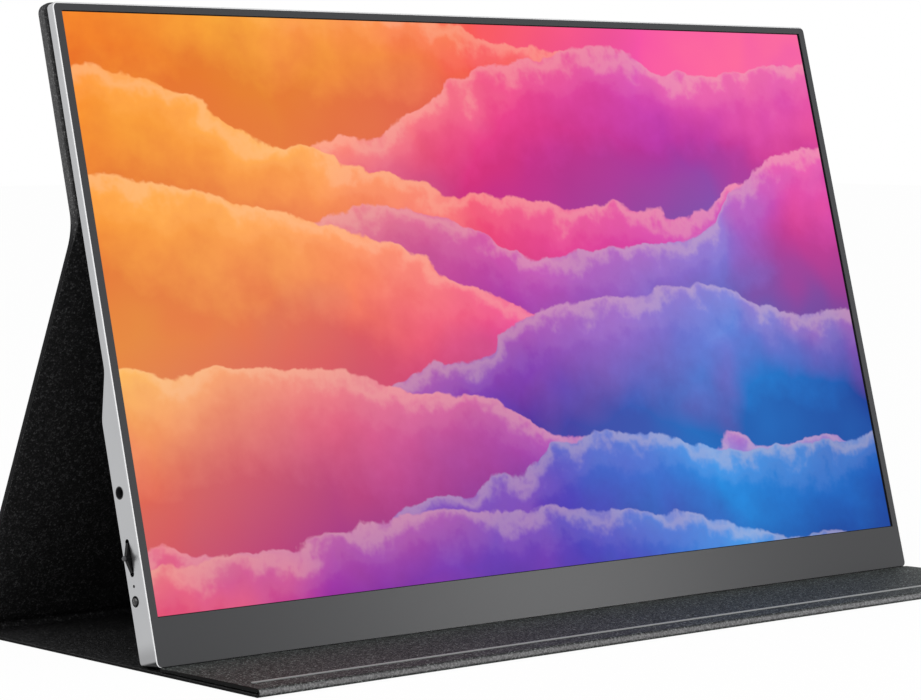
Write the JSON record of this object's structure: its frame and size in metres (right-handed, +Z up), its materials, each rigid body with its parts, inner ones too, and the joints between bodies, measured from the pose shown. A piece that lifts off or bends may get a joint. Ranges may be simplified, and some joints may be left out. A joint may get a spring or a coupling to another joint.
{
  "type": "portable monitor",
  "caption": "Slim portable monitor leaning on a folio cover that folds into its stand, with a jog lever, power button and headphone jack in its left side.",
  "frame": {"origin": "Middle of the cover's underside, on the table.", "axes": "+Z up, the screen looks along -Y, +X to the right across the screen."},
  "size_m": [0.354, 0.1542, 0.2073],
  "materials": {
    "case_aluminium": "fine satin",
    "bezel_plastic": "satin",
    "screen_glass": "satin",
    "film_plastic": "clear film",
    "frame_steel": "plain",
    "board_plastic": "solder mask",
    "ribbon_plastic": "film",
    "black_plastic": "moulded",
    "button_plastic": "polished",
    "light_plastic": "clear",
    "socket_steel": "plated",
    "cover_leather": "fine pebble grain",
    "cover_lining": "fine nap",
    "cover_card": "fibre board"
  },
  "bodies": {
    "base": {"base_skin": "cover_leather", "base_board": "cover_card", "base_lining": "cover_lining", "front_fold": "cover_leather", "rear_crease": "cover_leather"},
    "lip": {"lip_skin": "cover_leather", "lip_board": "cover_card", "lip_lining": "cover_lining"},
    "leg": {"leg_skin": "cover_leather", "leg_board": "cover_card", "leg_lining": "cover_lining", "upper_crease": "cover_leather"},
    "screen": {"back_shell": "case_aluminium", "front_bezel": "bezel_plastic", "lcd_panel": "screen_glass", "optical_sheets": "film_plastic", "light_guide": "film_plastic", "reflector_sheet": "film_plastic", "panel_frame": "frame_steel", "panel_tape": "film_plastic", "light_bar": "board_plastic", "driver_board": "board_plastic", "driver_tabs": "ribbon_plastic", "main_board": "board_plastic", "board_shield": "frame_steel", "key_board": "board_plastic", "board_screws": "frame_steel", "panel_cable": "ribbon_plastic", "key_cable": "ribbon_plastic", "speaker_left": "black_plastic", "speaker_right": "black_plastic", "headphone_jack": "black_plastic", "jog_switch": "black_plastic", "light_pipe": "light_plastic", "power_switch": "black_plastic", "picture_socket": "socket_steel", "data_socket_low": "socket_steel", "data_socket_high": "socket_steel", "upper_skin": "cover_leather", "upper_board": "cover_card", "upper_lining": "cover_lining", "cover_magnets": "frame_steel"},
    "jog_press_body": {"jog_carrier": "black_plastic"},
    "jog_rock_body": {"jog_lever": "black_plastic"},
    "power_button_body": {"power_button": "button_plastic"}
  },
  "joints": [
    {"name": "lip_fold", "type": "hinge", "parent": "base", "child": "lip", "pos_m": [0, -0.07575, 0.00137], "axis": [1, 0, 0], "range_deg": [0, 180], "deforming": ["front_fold"]},
    {"name": "leg_fold", "type": "hinge", "parent": "base", "child": "leg", "pos_m": [0, 0.07393, 0.0032], "axis": [-1, 0, 0], "range_deg": [0, 24], "deforming": ["rear_crease"]},
    {"name": "screen_tilt", "type": "hinge", "parent": "leg", "child": "screen", "pos_m": [0, 0.01884, 0.13482], "axis": [1, 0, 0], "range_deg": [0, 36], "deforming": ["upper_crease"]},
    {"name": "jog_press", "type": "slide", "parent": "screen", "child": "jog_press_body", "axis": [1, 0, 0], "range_m": [0, 0.0004], "stiffness_N_per_m": 400, "springref_m": -0.001},
    {"name": "jog_rock", "type": "hinge", "parent": "jog_press_body", "child": "jog_rock_body", "pos_m": [-0.1724, -0.01243, 0.03477], "axis": [0, -0.965, 0.2622], "range_deg": [-8, 8], "stiffness_Nm_per_rad": 0.02},
    {"name": "power_press", "type": "slide", "parent": "screen", "child": "power_button_body", "axis": [1, 0, 0], "range_m": [0, 0.0004], "stiffness_N_per_m": 400, "springref_m": -0.001}
  ],
  "couplings": [
    {"joint": "screen_tilt", "follows": "leg_fold", "ratio": 1.5}
  ]
}
